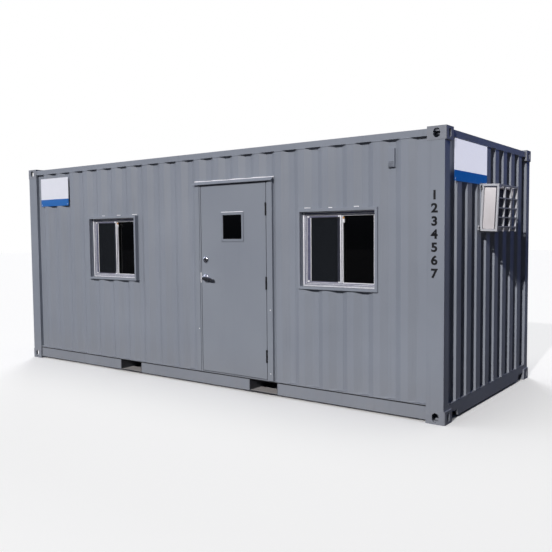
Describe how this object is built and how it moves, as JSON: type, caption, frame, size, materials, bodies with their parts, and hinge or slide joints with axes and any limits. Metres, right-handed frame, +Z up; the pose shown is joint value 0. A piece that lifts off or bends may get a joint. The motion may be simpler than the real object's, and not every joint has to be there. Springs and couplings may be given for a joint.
{
  "type": "shipping container cabin",
  "caption": "Twenty-foot steel freight container made into a lined site cabin, with an outward-opening door, boxed sliding windows and a caged wall air conditioner.",
  "frame": {"origin": "on the ground, midway between the four bottom corner castings", "axes": "+X along the long side towards the end with the air conditioner, -Y out of the front (door) side, +Z up"},
  "size_m": [6.2263, 2.502, 2.591],
  "materials": {
    "cladding_paint": "satin",
    "frame_paint": "satin",
    "casting_paint": "satin",
    "underframe_paint": "matte",
    "floor_plywood": "satin",
    "lining_board": "matte",
    "surround_paint": "satin",
    "window_aluminium": "satin",
    "window_glass": "gloss",
    "door_paint": "satin",
    "hinge_steel": "satin",
    "lock_chrome": "polished",
    "cooler_casing": "satin",
    "cage_paint": "satin",
    "vent_paint": "satin"
  },
  "bodies": {
    "cabin": {"corner_castings_bottom": "casting_paint", "corner_castings_top": "casting_paint", "corner_posts": "frame_paint", "top_side_rail_front": "frame_paint", "top_side_rail_back": "frame_paint", "top_end_rail_left": "frame_paint", "top_end_rail_right": "frame_paint", "bottom_side_rail_front": "frame_paint", "bottom_side_rail_back": "frame_paint", "bottom_rail_lips": "frame_paint", "bottom_end_sill_left": "frame_paint", "bottom_end_sill_right": "frame_paint", "forklift_pockets": "underframe_paint", "floor_cross_members": "underframe_paint", "floor_boards": "floor_plywood", "front_wall_left": "cladding_paint", "front_wall_over_door": "cladding_paint", "front_wall_right": "cladding_paint", "back_wall": "cladding_paint", "end_wall_left": "cladding_paint", "end_wall_right": "cladding_paint", "roof_panel": "cladding_paint", "roof_headers": "cladding_paint", "lining_sides": "lining_board", "lining_over_door": "lining_board", "lining_ends": "lining_board", "ceiling_lining": "lining_board", "window_surround_left": "surround_paint", "window_surround_right": "surround_paint", "window_frames": "window_aluminium", "window_sashes": "window_aluminium", "window_glass": "window_glass", "door_frame": "door_paint", "door_threshold": "door_paint", "drip_cap": "door_paint", "hinge_frame_leaves": "hinge_steel", "air_conditioner": "cooler_casing", "air_conditioner_cage": "cage_paint", "wall_vent": "vent_paint"},
    "door": {"door_leaf": "door_paint", "vision_frame": "door_paint", "vision_glass": "window_glass", "hinge_door_leaves": "hinge_steel", "lock_trim": "lock_chrome"},
    "lever": {"lever_handles": "lock_chrome"}
  },
  "joints": [
    {"name": "door_hinge", "type": "hinge", "parent": "cabin", "child": "door", "pos_m": [1.0965, -1.2274, 1.1775], "axis": [0, 0, 1], "range_deg": [0, 110]},
    {"name": "lever_turn", "type": "hinge", "parent": "door", "child": "lever", "pos_m": [0.263, -1.219, 1.207], "axis": [0, 1, 0], "range_deg": [0, 45], "stiffness_Nm_per_rad": 2}
  ]
}
